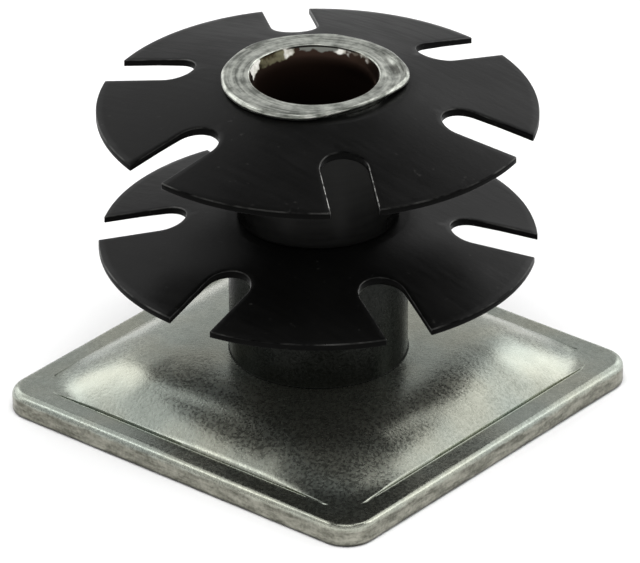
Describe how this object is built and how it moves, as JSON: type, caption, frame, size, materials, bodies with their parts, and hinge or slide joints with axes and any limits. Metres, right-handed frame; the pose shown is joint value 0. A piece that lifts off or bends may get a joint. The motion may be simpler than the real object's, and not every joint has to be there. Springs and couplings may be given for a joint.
{
  "type": "threaded caster insert",
  "caption": "Square flanged tube-end insert with a threaded bore and dished star washers held on its neck by a sleeve and a swaged lip, for fitting a screw-in caster.",
  "frame": {"origin": "centre of the flange underside, on the axis of the bore", "axes": "+Z along the bore axis from the flange towards the swaged lip; X and Y along the sides of the square flange"},
  "size_m": [0.0318, 0.0318, 0.025],
  "materials": {
    "zinc_plated_steel": "dull zinc plate, finely mottled",
    "black_spring_steel": "satin black oxide",
    "dark_plated_steel": "dull dark plate"
  },
  "bodies": {
    "root": {"threaded_body": "zinc_plated_steel", "lower_star_washer": "black_spring_steel", "spacer_sleeve": "dark_plated_steel", "upper_star_washer": "black_spring_steel"}
  },
  "joints": []
}
